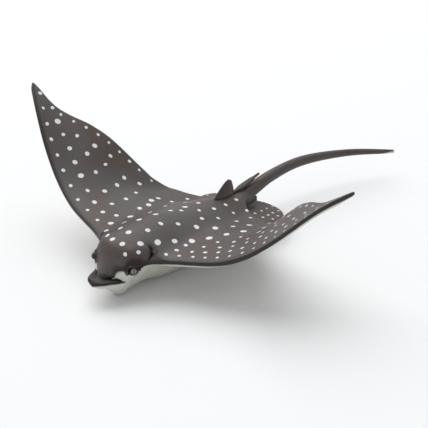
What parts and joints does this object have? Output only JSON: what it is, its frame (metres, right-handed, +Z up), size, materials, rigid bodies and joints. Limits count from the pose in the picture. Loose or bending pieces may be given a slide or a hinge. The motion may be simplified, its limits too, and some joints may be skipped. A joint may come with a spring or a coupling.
{
  "type": "toy figure of a spotted eagle ray",
  "caption": "Moulded and painted toy ray lying on its belly, wings raised, spotted dark back, pale underside, blunt snout, dorsal fin, tail spine and thin curved tail.",
  "frame": {"origin": "centre of the bounding box, on the floor plane under the belly", "axes": "+Z up through the back, -Y towards the snout, +Y towards the tail, +X to the ray's left wing"},
  "size_m": [0.1642, 0.1712, 0.0548],
  "materials": {
    "skin": "hand-painted semi-matt soft plastic, dark grey-brown back with pale spots, off-white underside",
    "eyes": "glossy paint, pale iris with a dark upright pupil and black rim"
  },
  "bodies": {
    "root": {"rostral_lobe": "skin", "head": "skin", "eye_left": "eyes", "eye_right": "eyes", "trunk_front": "skin", "trunk_rear": "skin", "wing_left_inner": "skin", "wing_right_inner": "skin", "wing_left_middle": "skin", "wing_right_middle": "skin", "wing_left_outer": "skin", "wing_right_outer": "skin", "dorsal_fin": "skin", "tail_spine": "skin", "tail_base": "skin", "tail_middle": "skin", "tail_tip": "skin", "pelvic_fin_left": "skin", "pelvic_fin_right": "skin"}
  },
  "joints": []
}
